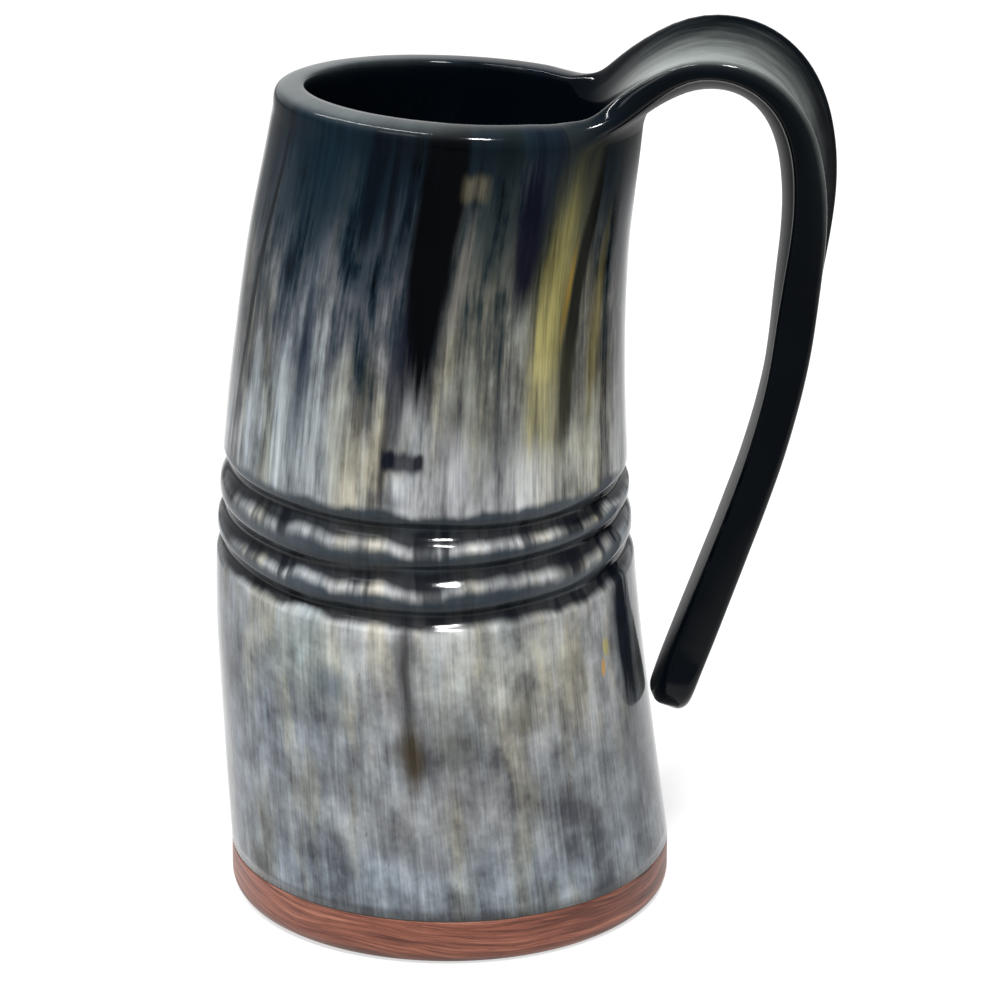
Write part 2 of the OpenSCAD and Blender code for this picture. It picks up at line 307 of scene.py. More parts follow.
def handle_row(s):
    """Frame and sizes of the handle's section at the distance s along it."""
    turn = min(max(1 - s / ROOT_LEN, 0), 1)
    out = min(max((s - STRAIGHT_S) / END_R, 0), 1)
    m, n = float(ease(2 * s / ROOT_LEN)), float(ease(s / ROOT_LEN))
    bend = float(curve(BEND_AT_SHARES, BEND_DEG, s / HANDLE_LEN))
    deg = math.radians(mix(math.degrees(math.atan2(RIM_FALL, ROOT_A)), bend, n))
    w = HANDLE_W / 2 * section(WIDTH_SHARES, s) - EDGE_R
    w += ROOT_W * (1 - math.sqrt(1 - turn**2)) - END_R * (1 - math.sqrt(1 - out**2))
    return dict(
        place=np.array([np.interp(s, PATH[0], PATH[1]), 0, np.interp(s, PATH[0], PATH[2])]),
        along=np.array([math.sin(deg), 0, math.cos(deg)]),
        normal=np.array([-math.cos(deg), 0, math.sin(deg)]),
        w=w,
        sag=mix(natural_sag(ROOT_A, w), HANDLE_SAG * section(SAG_SHARES, s), m),
        thick=mix(WALL, HANDLE_T * section(THICK_SHARES, s), n),
        inset=mix(WALL * w / ROOT_B, EDGE_R * section(INSET_SHARES, s), n),
        trough=mix(natural_sag(ROOT_A - WALL, w), TROUGH_D * section(TROUGH_SHARES, s), m),
        skew=-RIM_RISE * (1 - n) * w / ROOT_B,
        drop=ROOT_DROP * math.sin(math.pi * turn**DROP_BIAS) ** 2,
        corner=max(turn, out),
        edge=mix(EDGE_R, END_EDGE_R, float(ease((s - STRAIGHT_S + END_R) / END_R))),
        handle=n,
        twist=n * math.radians(section(TWIST_DEG, s)),
    )


def handle_points(row, k, inside):
    """Points across one row at the angles k, on the trough's side or on the fingers' side."""
    f = (1 - np.cos(k)) / (1 - math.cos(math.radians(ROOT_DEG)))
    g = np.sin(k) / math.sin(math.radians(ROOT_DEG))
    n = row["thick"] + row["trough"] * f if inside else row["sag"] * f
    y = (row["w"] - row["inset"] if inside else row["w"]) * g
    cos, sin = math.cos(row["twist"]), math.sin(row["twist"])
    n, y = n * cos + y * sin, y * cos - n * sin
    return (
        row["place"]
        + np.outer(n, row["normal"])
        + np.outer(y, [0, 1, 0])
        + np.outer(row["skew"] * g, row["along"])
        - np.outer(row["drop"] * f, [0, 0, 1])
    )


def lip_points(o, i, way, r_outer, r_inner, h, steps, soft=1.0):
    """The rounding from the outer edge o over the crest to the inner edge i. soft under 1 squares it."""
    v = (i - o) / np.linalg.norm(i - o)
    made = []
    for q in range(1, 2 * steps):
        a = math.pi / 2 * q / steps
        if q <= steps:
            over, up = max(math.cos(a), 0) ** soft, math.sin(a) ** soft
            made.append(o + v * r_outer * (1 - over) + way * h * up)
        else:
            b = a - math.pi / 2
            back, up = math.sin(b) ** soft, max(math.cos(b), 0) ** soft
            made.append(i - v * r_inner * (1 - back) + way * h * up)
    return made


def grain_point(angle, v, r=GRAIN_R):
    """A place on the grain's cylinder: angle 0 faces -Y, and +X is at a quarter turn."""
    return (r * math.sin(angle), r * math.cos(angle), v)


def build_horn():
    """The horn's points and quads, and for each point its grain and how far inside it is.

    It has the wall, its bore, the handle and the lip that runs round all of them.
    """
    root = round(ROOT_DEG * COLS / 360)
    th = np.radians(np.arange(COLS) * 360 / COLS)
    rings = [z + RING_W / 2 * f for z in RING_Z for f in np.linspace(-1, 1, ROWS_A_RING)]
    outer_v = [HORN_Z] + even(HORN_Z, rings[0], ROWS_UNDER_RINGS) + rings[1:]
    outer_v += even(rings[-1], TOP_Z, ROWS_OVER_RINGS)
    inner_v = [HORN_Z, ROUND_Z] + even(ROUND_Z, TOP_Z, ROWS_OF_BORE)
    stops = [
        ROOT_LEN * (1 - math.cos(math.pi / 2 * i / ROWS_OF_ROOT)) for i in range(1, ROWS_OF_ROOT + 1)
    ]
    arch_end = HANDLE_LEN / 3
    stops += even(ROOT_LEN, arch_end, ROWS_OF_ARCH) + even(arch_end, STRAIGHT_S, ROWS_OF_LEG)
    stops += [
        STRAIGHT_S + END_R * math.sin(math.pi / 2 * i / ROWS_OF_END) for i in range(1, ROWS_OF_END)
    ]
    k = np.radians(np.arange(-root, root + 1) * 360 / COLS)
    rows = [handle_row(s) for s in stops]
    across, count = 2 * root + 1, len(rows)

    points, grain, within = [], [], []

    def add(block, angles, heights, inside):
        points.extend(block)
        grain.extend(grain_point(a, v) for a, v in zip(angles, heights))
        within.extend([inside] * len(block))

    quarter = math.pi / 2
    for v in outer_v:
        add(outer_row(v, th), th + quarter, [v] * COLS, 0)
    inner_0 = len(points)
    for v in inner_v:
        add(inner_row(v, th), th + quarter, [v] * COLS, 1)
    tongue_0 = len(points)
    for s, row in zip(stops, rows):
        add(handle_points(row, k, False), k + quarter, [TOP_Z + s] * across, 0)
    trough_0 = len(points)
    for s, row in zip(stops, rows):
        add(handle_points(row, k, True), k + quarter, [TOP_Z + s] * across, 1)
    top_outer, top_inner = (len(outer_v) - 1) * COLS, inner_0 + (len(inner_v) - 1) * COLS

    def outer_id(r, c):
        return top_outer + (c - root) % COLS if r < 0 else tongue_0 + r * across + c

    def inner_id(r, c):
        return top_inner + (c - root) % COLS if r < 0 else trough_0 + r * across + c

    def softness(angle):
        """The lip is softest at the front, between its middle and the handle, and square elsewhere."""
        soft = ease(1 - abs(angle % TURN - LIP_SOFT_AT) / LIP_SOFT_REACH)
        return LIP_SQUARE + (LIP_SOFT - LIP_SQUARE) * soft

    def edge_stop(r, side):
        """The lip's stop at row r of the handle, on one side of it."""
        c = 0 if side < 0 else across - 1
        row = rows[r]
        out = side * np.cross(points[inner_id(r, c)] - points[outer_id(r, c)], row["along"])
        way = out / np.linalg.norm(out) * math.sqrt(1 - row["corner"] ** 2) + row["along"] * row["corner"]
        # Near the rim the lip starts flush with the wall that it grows from
        over = handle_points(row, side * (k[-1] + np.radians([-1, 1])), False)
        next_row = points[outer_id(min(r + 1, count - 1), c)]
        face = np.cross(over[1] - over[0], next_row - points[outer_id(r - 1, c)])
        flush = way - face * (way @ face) / (face @ face)
        way = mix(flush / np.linalg.norm(flush), way, row["handle"])
        size = [mix(a, row["edge"], row["handle"]) for a in (LIP_OUTER, LIP_INNER, LIP_H)]
        return (outer_id(r, c), inner_id(r, c), way, size, mix(softness(k[c]), 1, row["handle"]))

    up = np.array([RIM_FALL, 0, ROOT_A])
    up = up / np.linalg.norm(up)
    rim = [LIP_OUTER, LIP_INNER, LIP_H]
    end = [END_EDGE_R] * 3
    last, onward = count - 1, rows[-1]["along"]
    loop = [
        (top_outer + j, top_inner + j, up, rim, softness(th[j])) for j in range(root, COLS - root + 1)
    ]
    loop += [edge_stop(r, -1) for r in range(count)]
    loop += [(outer_id(last, c), inner_id(last, c), onward, end, 1) for c in range(1, across - 1)]
    loop += [edge_stop(r, 1) for r in range(last, -1, -1)]
    lip_0, lip_n = len(points), 2 * LIP_STEPS - 1
    for o, i, way, size, soft in loop:
        made = lip_points(points[o], points[i], way, *size, LIP_STEPS, soft)
        points.extend(made)
        for q in range(lip_n):
            share = (q + 1) / (lip_n + 1)
            grain.append(tuple(mix(np.array(grain[o]), np.array(grain[i]), share)))
            within.append(share)

    def lip_id(stop, q):
        stop = stop % len(loop)
        if q == 0:
            return loop[stop][0]
        return loop[stop][1] if q == 2 * LIP_STEPS else lip_0 + stop * lip_n + q - 1

    quads = []
    for first, many, flip in ((0, len(outer_v), False), (inner_0, len(inner_v), True)):
        for r in range(many - 1):
            for j in range(COLS):
                a, b = first + r * COLS + j, first + r * COLS + (j + 1) % COLS
                quads.append((b, a, a + COLS, b + COLS) if flip else (a, b, b + COLS, a + COLS))
    for j in range(COLS):
        jj = (j + 1) % COLS
        quads.append((inner_0 + j, inner_0 + jj, jj, j))
    for r in range(count):
        for c in range(across - 1):
            quads.append((outer_id(r - 1, c), outer_id(r - 1, c + 1), outer_id(r, c + 1), outer_id(r, c)))
            quads.append((inner_id(r - 1, c + 1), inner_id(r - 1, c), inner_id(r, c), inner_id(r, c + 1)))
    for stop in range(len(loop)):
        for q in range(2 * LIP_STEPS):
            after = stop + 1
            quads.append((lip_id(stop, q), lip_id(after, q), lip_id(after, q + 1), lip_id(stop, q + 1)))
    return np.array(points), quads, np.array(grain), np.array(within, float)


def make_mesh(name, points, faces, **attributes):
    """A smooth-shaded object in metres, from points in millimetres, with its named attributes."""
    mesh = bpy.data.meshes.new(name)
    mesh.from_pydata([tuple(p) for p in np.asarray(points) * MM], [], faces)
    mesh.polygons.foreach_set("use_smooth", [True] * len(mesh.polygons))
    for key, values in attributes.items():
        kind, field = ("FLOAT_VECTOR", "vector") if values.ndim == 2 else ("FLOAT", "value")
        mesh.attributes.new(key, kind, "POINT").data.foreach_set(field, values.ravel().astype(np.float32))
    mesh.update()
    made = bpy.data.objects.new(name, mesh)
    bpy.context.scene.collection.objects.link(made)
    return made


def rub_down(points, quads, spots, reach, times):
    """Rubs the points near the spots smooth, as sandpaper does."""
    links = np.array([(q[i], q[i - 1]) for q in quads for i in range(4)])
    links = np.concatenate([links, links[:, ::-1]])
    far = np.min([np.linalg.norm(points - spot, axis=1) for spot in spots], axis=0)
    touch = ease((reach - far) / (reach / 2))[:, None]
    links = links[touch[links[:, 0], 0] > 0]
    many = np.bincount(links[:, 0], minlength=len(points))[:, None]
    for _ in range(times):
        total = np.zeros_like(points)
        np.add.at(total, links[:, 0], points[links[:, 1]])
        points = np.where(touch > 0, mix(points, total / np.maximum(many, 1), touch * RUB_SHARE), points)
    return points


def hand_polish(points, quads):
    """Moves the points along their normals by the faint waves that hand scraping and buffing leave.

    The waves are about 21 mm long across the horn and 34 mm along it, and the ripples 7 mm.
    """
    normals = np.zeros_like(points)
    corners = np.array(quads)
    p = points[corners]
    face = np.cross(p[:, 2] - p[:, 0], p[:, 3] - p[:, 1])
    for i in range(4):
        np.add.at(normals, corners[:, i], face)
    normals /= np.linalg.norm(normals, axis=1)[:, None]
    strength = ease((points[:, 2] - POLISH_FROM) / POLISH_BLEND)
    waves = np.array([noise.noise(Vector(q * (1 / 21, 1 / 21, 1 / 34))) for q in points])
    ripples = np.array([noise.noise(Vector(q / 7 + 40)) for q in points])
    return points + normals * ((POLISH_WAVE * waves + POLISH_RIPPLE * ripples) * strength)[:, None]


class Shader:
    """Short names for making the nodes of a material or of the world."""

    def __init__(self, owner):
        owner.use_nodes = True
        self.owner = owner
        self.tree = owner.node_tree
        self.bsdf = self.tree.nodes.get("Principled BSDF")

    def node(self, kind, inputs=(), **settings):
        made = self.tree.nodes.new(kind)
        for key, value in settings.items():
            setattr(made, key, value)
        for key, value in dict(inputs).items():
            self.put(made.inputs[key], value)
        return made

    def put(self, socket, value):
        if isinstance(value, bpy.types.NodeSocket):
            self.tree.links.new(value, socket)
        else:
            socket.default_value = value

    def math(self, operation, *values):
        made = self.node("ShaderNodeMath", operation=operation)
        for i, value in enumerate(values):
            self.put(made.inputs[i], value)
        return made.outputs[0]

    def add(self, *values):
        total = values[0]
        for value in values[1:]:
            total = self.math("ADD", total, value)
        return total

    def times(self, *values):
        total = values[0]
        for value in values[1:]:
            total = self.math("MULTIPLY", total, value)
        return total

    def absolute(self, value):
        return self.math("ABSOLUTE", value)

    def step(self, value, low, high):
        """Soft step from 0 at low to 1 at high. low may be the larger."""
        inputs = {"Value": value, "From Min": low, "From Max": high}
        return self.node("ShaderNodeMapRange", inputs, interpolation_type="SMOOTHSTEP").outputs[0]

    def near(self, value, middle, far, close):
        """1 where the value is within close of the middle, and 0 where it is further off than far."""
        return self.step(self.absolute(self.add(value, -middle)), far, close)

    def attribute(self, name):
        return self.node("ShaderNodeAttribute", attribute_name=name)

    def parts(self, vector):
        return self.node("ShaderNodeSeparateXYZ", {0: vector}).outputs

    def vector(self, x, y, z):
        return self.node("ShaderNodeCombineXYZ", {0: x, 1: y, 2: z}).outputs[0]

    def noise(self, vector, scale, detail=2.0, roughness=0.5):
        """Noise around 0, in about -0.5 to 0.5, at that many waves a unit along each axis."""
        scaled = self.node("ShaderNodeVectorMath", {0: vector, 1: scale}, operation="MULTIPLY").outputs[0]
        inputs = {"Vector": scaled, "Scale": 1.0, "Detail": detail, "Roughness": roughness}
        return self.math("SUBTRACT", self.node("ShaderNodeTexNoise", inputs).outputs[0], 0.5)

    def ramp(self, value, stops):
        made = self.node("ShaderNodeValToRGB", {0: value})
        elements = made.color_ramp.elements
        while len(elements) < len(stops):
            elements.new(0.5)
        for element, (place, colour) in zip(elements, stops):
            element.position = place
            element.color = (*colour, 1)
        return made.outputs[0]

    def grey(self, value):
        return self.vector(value, value, value)

    def blend(self, factor, a, b, how="MIX"):
        made = self.node("ShaderNodeMix", data_type="RGBA", blend_type=how)
        self.put(made.inputs[0], factor)
        for index, colour in ((6, a), (7, b)):
            self.put(made.inputs[index], (*colour, 1) if isinstance(colour, tuple) else colour)
        return made.outputs[2]


def screen(*levels):
    """A linear colour from screen levels of 0 to 255."""
    return tuple(c / 255 / 12.92 if c <= 10 else ((c / 255 + 0.055) / 1.055) ** 2.4 for c in levels)


# Screen colours of the horn from dark to light, and where they stand on its scale of tones
HORN_TONES = (
    (0.0, (2, 5, 9)),
    (0.1, (16, 27, 36)),
    (0.22, (48, 54, 60)),
    (0.36, (84, 84, 87)),
    (0.5, (124, 126, 127)),
    (0.64, (160, 162, 163)),
    (0.8, (194, 196, 197)),
    (1.0, (226, 226, 226)),
)

# Two tints that drift over the horn, and screen colours of its details and of the reflections painted on it
WARM_TINT = (1.07, 1.0, 0.84)
COOL_TINT = (0.91, 0.98, 1.05)
SPECK = (72, 62, 34)
RING_BREAK = (20, 24, 30)
RING_BED = (8, 12, 19)
# Painted reflection on the rings' upper flanks: slate in front, paler at the sides
RING_FRONT_REFLECTION = (43, 52, 59)
RING_SIDE_REFLECTION = (86, 92, 98)
# Painted reflection of the bright room on the lip's top
LIP_REFLECTION_GREY = (84, 90, 91)
BORE_BLACK = (2, 5, 9)
# Painted reflection of the bright room in the handle's trough
TROUGH_REFLECTION_GREY = (132, 139, 136)

# Linear colours of the wood, the glue and the resin, and where they stand on the scale of each
WOOD_TONES = (
    (0.30, (0.045, 0.0125, 0.009)),
    (0.43, (0.13, 0.043, 0.028)),
    (0.53, (0.215, 0.075, 0.048)),
    (0.68, (0.36, 0.147, 0.099)),
)
WOOD_PORE = (0.075, 0.024, 0.018)
GLUE_TONES = ((0.3, (0.045, 0.026, 0.016)), (0.7, (0.10, 0.06, 0.036)))
RESIN_TONES = ((0.3, (0.72, 0.56, 0.34)), (0.7, (0.86, 0.74, 0.52)))

# Washes of the horn, the two on its sides being painted shade: place round the cup from the front and
# height in mm, half sizes, tint and strength
WASHES = (
    ("cool_left", -26, 128, 22, 40, (0.88, 0.99, 1.05), 0.9),
    ("umber_right_of_tongue", 13, 134, 11, 30, (0.98, 1.00, 0.78), 0.9),
    ("umber_low_left", -9, 104, 8, 16, (1.08, 1.02, 0.86), 0.7),
    ("olive_right", 36, 118, 13, 40, (1.06, 1.02, 0.80), 0.8),
    ("dim_mid_left", -30, 96, 15, 18, (0.60, 0.64, 0.67), 0.8),
    ("olive_low_left", -20, 62, 11, 12, (1.03, 1.04, 0.90), 0.8),
    ("pale_low_right", 18, 60, 16, 14, (1.16, 1.15, 1.03), 0.9),
    ("blue_low_left", -26, 44, 20, 30, (0.92, 1.01, 1.11), 0.9),
    ("dim_low_right", 34, 30, 20, 18, (0.70, 0.74, 0.78), 0.9),
    ("pale_mid_left", -24, 123, 14, 16, (1.26, 1.22, 1.17), 0.8),
    ("dim_middle", 10, 106, 12, 14, (0.54, 0.54, 0.52), 0.85),
    # Painted shade: these two washes darken the cup's left and right sides
    ("painted_shade_left_side", -56, 50, 20, 46, (0.44, 0.49, 0.56), 0.9),
    ("painted_shade_right_side", 63, 48, 22, 46, (0.30, 0.35, 0.41), 0.9),
    ("slate_foot", 0, 14, 60, 12, (0.84, 0.94, 1.04), 0.9),
)

# Stains of the horn, and three painted reflections among them: place and height of the middle in mm, half
# width and half height, lean, softness of the edge, raggedness, screen colour and strength
STAINS = (
    ("black_tongue", 0.8, 146, 5.0, 37, 0.0, 0.28, 0.8, (1, 2, 4), 1),
    ("tongue_foot", -3.0, 112, 2.2, 16, 0.03, 0.6, 1.2, (12, 17, 30), 0.8),
    ("tongue_tail", -5.0, 103, 1.1, 13, 0.04, 0.7, 1.2, (26, 28, 34), 0.7),
    ("pale_by_tongue", 6.8, 132, 1.5, 13, 0.06, 0.8, 1.4, (108, 104, 98), 0.6),
    ("dark_left_1", -13.7, 150, 1.9, 15, 0.02, 0.5, 0.6, (4, 9, 16), 0.9),
    ("dark_left_2", -9.2, 149, 1.1, 15, -0.02, 0.6, 0.5, (4, 8, 14), 0.85),
    ("dark_left_3", -5.6, 151, 0.9, 16, 0.0, 0.6, 0.5, (4, 8, 14), 0.6),
    ("shade_left", -28, 152, 12, 20, 0.0, 0.7, 2.0, (14, 30, 40), 0.7),
    # Painted reflection: a thin dark line where a dark strip of the room would mirror in the wall
    ("painted_dark_reflection_line", -41.8, 128, 1.2, 34, 0.107, 0.6, 0.5, (4, 10, 16), 0.9),
    ("navy", 20.2, 142, 3.8, 15, -0.03, 0.5, 1.2, (2, 4, 22), 0.95),
    ("navy_edge", 24.5, 150, 2.6, 12, 0.1, 0.7, 1.2, (14, 22, 30), 0.8),
    ("olive_veil", 28.6, 128, 6.6, 31, 0.12, 0.8, 1.8, (84, 82, 54), 0.8),
    ("olive_core", 27.0, 126, 3.5, 20, 0.13, 0.9, 2.2, (150, 143, 90), 0.8),
    ("olive_amber", 31.2, 130, 0.9, 10, 0.14, 0.7, 0.8, (132, 106, 40), 0.7),
    ("black_by_olive", 34.2, 133, 2.1, 27, 0.14, 0.45, 1.0, (6, 7, 4), 0.95),
    ("dark_by_olive_low", 31.4, 110, 2.0, 14, 0.1, 0.6, 1.6, (38, 38, 26), 0.8),
    ("olive_right_core", 39.8, 121, 2.2, 20, 0.08, 0.8, 1.6, (112, 104, 66), 0.75),
    ("olive_foot", 26.2, 106, 3.2, 11, 0.05, 0.8, 1.6, (150, 146, 112), 0.6),
    ("pale_foot", 25.0, 96, 4.6, 7, 0.0, 0.8, 1.8, (186, 188, 186), 0.6),
    ("pale_left", -28.0, 100, 2.2, 15, 0.0, 0.8, 1.4, (168, 176, 180), 0.7),
    ("pale_left_2", -15.0, 104, 2.0, 14, 0.02, 0.8, 1.4, (150, 152, 142), 0.6),
    ("pale_middle", 8.5, 97, 3.4, 9, 0.0, 0.8, 1.6, (176, 178, 182), 0.55),
    ("slate_patch", -23.4, 117, 2.2, 15, 0.03, 0.7, 1.4, (38, 48, 62), 0.7),
    # Painted reflection: the handle's leg mirrored as a dark streak in the wall below it
    ("painted_handle_reflection", 47.8, 62, 3.7, 23, -0.03, 0.5, 1.4, (6, 12, 24), 0.95),
    ("dark_under_mark", -3.0, 93.0, 3.2, 3.0, 0.0, 0.8, 1.4, (64, 68, 75), 0.7),
    # Painted reflection: the dark strip of the room mirrored black at the rings' left ends
    ("painted_dark_reflection_on_rings", -46, 80, 9, 10, 0.0, 0.7, 1.5, (12, 16, 22), 0.85),
    ("dark_ring_right", 33, 80, 5, 8, 0.0, 0.7, 1.5, (10, 13, 19), 0.8),
    ("brown_line", -0.5, 62, 1.9, 17, 0.01, 0.9, 0.5, (44, 42, 44), 0.9),
    ("brown_stain", -0.2, 45, 3.0, 7.5, 0.0, 0.7, 1.5, (54, 46, 34), 0.92),
    ("brown_stain_2", 7.6, 46.4, 4.2, 6.0, 0.0, 0.9, 1.8, (78, 80, 76), 0.6),
    ("brown_stain_3", 19.4, 51.5, 3.6, 4.5, 0.0, 0.8, 1.6, (104, 100, 84), 0.5),
    ("blue_blot", -14.0, 57.5, 3.8, 4.2, 0.0, 0.8, 1.6, (92, 104, 114), 0.6),
    ("foot_blot", 2.6, 22, 3.0, 3.6, 0.0, 0.8, 1.2, (98, 98, 102), 0.6),
    ("yellow_fleck", 40.4, 59.2, 1.0, 1.9, 0.0, 0.5, 0.7, (164, 154, 88), 0.8),
    ("orange_fleck", 39.3, 55.3, 0.7, 1.9, 0.1, 0.5, 0.5, (190, 142, 58), 0.75),
)

# Small marks with squarer edges, told in the same way
MARKS = (
    ("dark_mark", -1.3, 100.1, 4.1, 2.1, 0.0, 0.6, 0.2, (30, 32, 40), 0.88),
    ("dark_mark_left", -4.0, 100.2, 1.5, 2.0, 0.0, 0.5, 0.2, (8, 12, 24), 0.9),
    ("dark_mark_right", 1.6, 100.3, 1.0, 1.6, 0.0, 0.5, 0.2, (20, 20, 28), 0.9),
    ("pale_mark", -1.4, 95.0, 2.2, 1.9, 0.0, 0.9, 0.3, (168, 170, 174), 0.5),
    ("tan_mark", 7.3, 150.3, 2.9, 2.7, 0.0, 0.6, 0.2, (84, 80, 62), 0.6),
    ("tan_mark_middle", 7.3, 150.3, 2.0, 1.9, 0.0, 0.7, 0.2, (78, 74, 66), 0.6),
    ("olive_mark", 25.0, 116.2, 3.0, 2.6, 0.0, 0.8, 0.3, (164, 156, 108), 0.35),
)


def horn_material():
    """Black at the rim and on the handle, and streaked and clouded grey below."""
    s = Shader(bpy.data.materials.new("polished_horn"))
    grain = s.attribute("grain").outputs["Vector"]
    inside = s.attribute("inside").outputs["Fac"]
    # u is the way round the cup from its front, and v the height and on along the handle, both in mm
    gx, gy, v = s.parts(grain)
    u = s.times(s.math("ARCTAN2", gx, gy), float(GRAIN_R))

    def texture(across, along, detail, roughness=0.6):
        """Noise with lumps of about that size in mm across the horn and along it."""
        return s.noise(grain, (1 / across, 1 / across, 1 / along), detail, roughness)

    broad = texture(14, 150, 2, 0.5)
    strips = texture(3.4, 50, 3)
    wisps = texture(4.2, 16, 4)
    fine = texture(1.2, 22, 3)
    hairs = texture(0.45, 12, 2)
    clouds = texture(10, 13, 4)
    mottle = texture(4, 6, 3)
    drift = texture(7, 34, 3)
    bands = s.add(s.step(strips, -0.13, 0.13), -0.5)

    # The horn is black at its tip end, which is the rim, and pales downwards in streaks
    torn_v = s.add(
        v,
        s.times(broad, 50.0),
        s.times(bands, 10.0),
        s.times(wisps, 46.0),
        s.times(fine, 12.0),
    )
    dusk = s.step(torn_v, 162.0, 128.0)
    dawn = s.step(torn_v, 130.0, 96.0)
    low = s.step(v, 98.0, 72.0)
    streaks = s.add(s.times(bands, 0.22), s.times(wisps, 1.15), s.times(fine, 0.50), s.times(hairs, 0.24))
    blotches = s.times(low, s.add(s.times(clouds, 0.66), s.times(mottle, 0.30), s.times(hairs, 0.15)))
    swing = s.add(0.12, s.times(dusk, 0.78), s.times(low, -0.62))
    foot = s.step(s.add(v, s.times(clouds, 16.0), s.times(fine, 10.0)), 24.0, 8.0)
    near_rings = s.near(v, RINGS_MIDDLE, 36.0, 12.0)
    tone = s.add(
        0.05,
        s.times(dusk, 0.21),
        s.times(dawn, 0.22),
        s.times(near_rings, 0.07),
        s.times(streaks, swing),
        blotches,
        s.times(clouds, dusk, s.add(0.45, s.times(low, -0.45))),
        s.times(foot, -0.08),
        s.times(low, 0.03),
    )
    tone = s.times(tone, s.add(1.0, s.times(s.step(v, 150.0, 170.0), -0.85)))
    colour = s.ramp(tone, [(place, screen(*levels)) for place, levels in HORN_TONES])
    colour = s.blend(s.times(s.step(drift, 0.0, 0.16), 0.9), colour, WARM_TINT, "MULTIPLY")
    colour = s.blend(s.times(s.step(drift, -0.06, -0.2), 0.7), colour, COOL_TINT, "MULTIPLY")
    specks = s.times(s.step(texture(1.1, 3.2, 2, 0.5), 0.17, 0.26), s.step(clouds, -0.02, 0.1))
    colour = s.blend(s.times(specks, low, 0.5), colour, screen(*SPECK))

    wander = texture(3, 26, 3)
    frayed = s.add(s.times(fine, 22.0), s.times(strips, 16.0))

    def spot(place, high, half_u, half_v, lean=0.0, soft=0.8, torn=1.0, square=False):
        """Mask of an oval spot, or of a rounded square, with a soft and somewhat ragged edge."""
        above = s.add(v, -high)
        ragged = s.add(s.times(wander, 2.0 * torn), s.times(fine, 1.2 * torn))
        across = s.times(s.absolute(s.add(u, s.times(above, -lean), -place, ragged)), 1 / half_u)
        along = s.times(s.absolute(s.add(above, s.times(frayed, min(half_v / 24, 1)))), 1 / half_v)
        if square:
            across, along = s.times(across, across), s.times(along, along)
        far = s.math("SQRT", s.add(s.times(across, across), s.times(along, along)))
        if square:
            far = s.math("SQRT", far)
        return s.step(far, 1 + soft / 2, 1 - soft)

    for _, place, high, half_u, half_v, tint, strength in WASHES:
        mask = spot(place, high, half_u, half_v, torn=3.0)
        colour = s.blend(s.times(mask, strength), colour, tint, "MULTIPLY")
    shade = s.add(1.0, s.times(fine, 1.5), s.times(hairs, 0.9), s.times(wisps, 1.1))
    for rows, square in ((STAINS, False), (MARKS, True)):
        for _, place, high, half_u, half_v, lean, soft, torn, stain, strength in rows:
            mask = spot(place, high, half_u, half_v, lean, soft, torn, square)
            tinted = s.blend(1.0, screen(*stain), s.grey(shade), "MULTIPLY")
            colour = s.blend(s.times(mask, strength), colour, tinted)

    # The cut rings show the darker layer under the skin in their lower halves. Their upper flanks carry a
    # painted reflection, slate in front and paler towards the cup's sides.
    waver = texture(9, 40, 1.0, 0.4)
    cut_v = s.add(v, s.times(waver, 3.2), s.times(clouds, 1.2), s.times(mottle, 1.3), s.times(fine, 0.2))
    breaks = s.times(s.step(texture(4.5, 30, 2), 0.0, 0.11), s.near(cut_v, RING_Z[1], 10.5, 8.0))
    colour = s.blend(s.times(breaks, 0.8), colour, screen(*RING_BREAK))
    reflection_side = s.step(s.absolute(s.add(u, -3.0)), 14.0, 44.0)
    flank_reflection = s.blend(reflection_side, screen(*RING_FRONT_REFLECTION), screen(*RING_SIDE_REFLECTION))
    for z in RING_Z:
        off_ring = s.add(cut_v, -z)
        bed_and_reflection = s.blend(s.step(off_ring, 0.2, 1.8), screen(*RING_BED), flank_reflection)
        colour = s.blend(s.times(s.near(off_ring, 1.1, 3.8, 2.1), 0.94), colour, bed_and_reflection)

    # The lip is painted a little paler on the side away from the handle: a painted reflection of the bright
    # room
    lip = s.times(s.step(inside, 0.1, 0.4), s.step(inside, 0.99, 0.85), s.step(v, 172.0, 158.0))
    lip = s.times(lip, s.near(u, -52.0, 74.0, 24.0))
    colour = s.blend(s.times(lip, s.add(0.65, s.times(clouds, 0.8))), colour, screen(*LIP_REFLECTION_GREY))

    # Inside, it is black in the cup, and the handle's trough carries a painted grey reflection of the
    # bright room
    bore = s.times(s.step(inside, 0.35, 0.9), s.step(v, 20.0, 60.0))
    colour = s.blend(s.times(bore, 0.95), colour, screen(*BORE_BLACK))
    off_middle = s.add(u, -GRAIN_R * math.pi / 2)
    trough_reflection = s.times(s.step(inside, 0.5, 1.0), s.step(v, 157.0, 168.0))
    trough_reflection = s.times(trough_reflection, s.step(s.add(v, s.times(clouds, 50.0)), 228.0, 160.0))
    torn_side = s.add(off_middle, s.times(wisps, 18.0), s.times(clouds, 16.0))
    trough_reflection = s.times(trough_reflection, s.step(torn_side, 32.0, -8.0))
    colour = s.blend(s.times(trough_reflection, 0.8), colour, screen(*TROUGH_REFLECTION_GREY))
    s.put(s.bsdf.inputs["Base Color"], colour)

